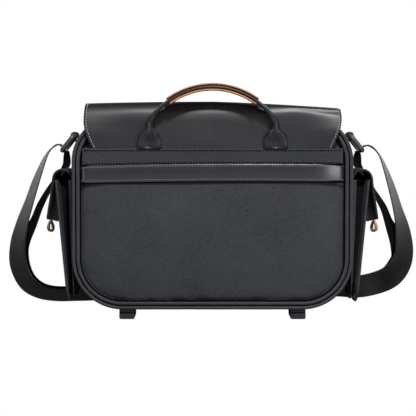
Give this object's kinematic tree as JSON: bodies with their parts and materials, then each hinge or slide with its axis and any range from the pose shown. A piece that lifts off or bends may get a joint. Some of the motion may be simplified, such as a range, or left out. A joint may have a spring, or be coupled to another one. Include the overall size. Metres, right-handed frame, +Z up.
{
  "type": "camera messenger bag",
  "caption": "Camera messenger bag with a folding leather flap, layered carry handle, bellows side pockets, lash loops and an adjustable webbing shoulder strap.",
  "frame": {"origin": "on the ground under the middle of the bag, strap left out", "axes": "+X along the bag's width, +Y from the worn back to the flap's front drop, +Z up"},
  "size_m": [0.5338, 0.2404, 0.2851],
  "materials": {
    "twill": "matte twill weave over foam",
    "black_leather": "smooth, softly glossy",
    "tan_leather": "smooth, cut edge",
    "webbing": "ribbed webbing",
    "padding": "brushed lining over foam",
    "gunmetal": "dark plated"
  },
  "bodies": {
    "bag": {"back_panel": "twill", "front_panel": "twill", "side_panel_left": "twill", "side_panel_right": "twill", "base_panel": "twill", "back_roll": "twill", "back_piping": "twill", "front_roll": "twill", "front_piping": "twill", "luggage_band": "black_leather", "insert_back": "padding", "insert_front": "padding", "insert_left": "padding", "insert_right": "padding", "insert_base": "padding", "flap_back": "black_leather", "snap_body_left": "gunmetal", "snap_body_right": "gunmetal", "side_pocket_panel_left": "twill", "side_pocket_panel_right": "twill", "side_pocket_gusset_left": "twill", "side_pocket_gusset_right": "twill", "side_flap_root_left": "black_leather", "side_flap_root_right": "black_leather", "ring_tab_left": "black_leather", "ring_tab_right": "black_leather", "strap_main": "webbing", "strap_tail_left": "webbing", "strap_tail_right": "webbing", "lash_loop_rear_left": "black_leather", "lash_loop_rear_right": "black_leather", "lash_loop_front_left": "black_leather", "lash_loop_front_right": "black_leather"},
    "flap_top": {"flap_top": "black_leather"},
    "flap_front": {"flap_front": "black_leather", "snap_flap_left": "gunmetal", "snap_flap_right": "gunmetal"},
    "handle": {"handle_tab_left": "black_leather", "handle_tab_right": "black_leather", "handle_strap": "black_leather", "grip_top": "tan_leather", "grip_bottom": "tan_leather"},
    "divider_left": {"divider_left": "padding"},
    "divider_right": {"divider_right": "padding"},
    "side_flap_left": {"side_flap_left": "black_leather", "pull_loop_left": "tan_leather"},
    "side_flap_right": {"side_flap_right": "black_leather", "pull_loop_right": "tan_leather"},
    "ring_left": {"ring_left": "gunmetal"},
    "ring_right": {"ring_right": "gunmetal"},
    "slider_left": {"slider_left": "gunmetal"},
    "slider_right": {"slider_right": "gunmetal"}
  },
  "joints": [
    {"name": "flap_hinge", "type": "hinge", "parent": "bag", "child": "flap_top", "pos_m": [0, -0.0541, 0.264], "axis": [1, 0, 0], "range_deg": [0, 120]},
    {"name": "flap_fold", "type": "hinge", "parent": "flap_top", "child": "flap_front", "pos_m": [0, 0.0735, 0.264], "axis": [1, 0, 0], "range_deg": [0, 90]},
    {"name": "handle_swing", "type": "hinge", "parent": "bag", "child": "handle", "pos_m": [0, -0.0776, 0.207], "axis": [1, 0, 0], "range_deg": [0, 150]},
    {"name": "divider_left_slide", "type": "slide", "parent": "bag", "child": "divider_left", "axis": [1, 0, 0], "range_m": [-0.025, 0.025]},
    {"name": "divider_right_slide", "type": "slide", "parent": "bag", "child": "divider_right", "axis": [1, 0, 0], "range_m": [-0.025, 0.025]},
    {"name": "side_flap_left_hinge", "type": "hinge", "parent": "bag", "child": "side_flap_left", "pos_m": [-0.1828, -0.0178, 0.1825], "axis": [0, 1, 0], "range_deg": [0, 120]},
    {"name": "side_flap_right_hinge", "type": "hinge", "parent": "bag", "child": "side_flap_right", "pos_m": [0.1828, -0.0178, 0.1825], "axis": [0, -1, 0], "range_deg": [0, 120]},
    {"name": "ring_left_swing", "type": "hinge", "parent": "bag", "child": "ring_left", "pos_m": [-0.1765, 0.0472, 0.2235], "axis": [0, 1, 0], "range_deg": [-30, 50], "deforming": ["strap_main", "strap_tail_left"]},
    {"name": "ring_right_swing", "type": "hinge", "parent": "bag", "child": "ring_right", "pos_m": [0.1765, 0.0472, 0.2235], "axis": [0, -1, 0], "range_deg": [-30, 50], "deforming": ["strap_main", "strap_tail_right"]},
    {"name": "slider_left_slide", "type": "slide", "parent": "bag", "child": "slider_left", "axis": [1, 0, 0], "range_m": [-0.012, 0.012], "deforming": ["strap_tail_left"]},
    {"name": "slider_right_slide", "type": "slide", "parent": "bag", "child": "slider_right", "axis": [1, 0, 0], "range_m": [-0.012, 0.012], "deforming": ["strap_tail_right"]}
  ]
}
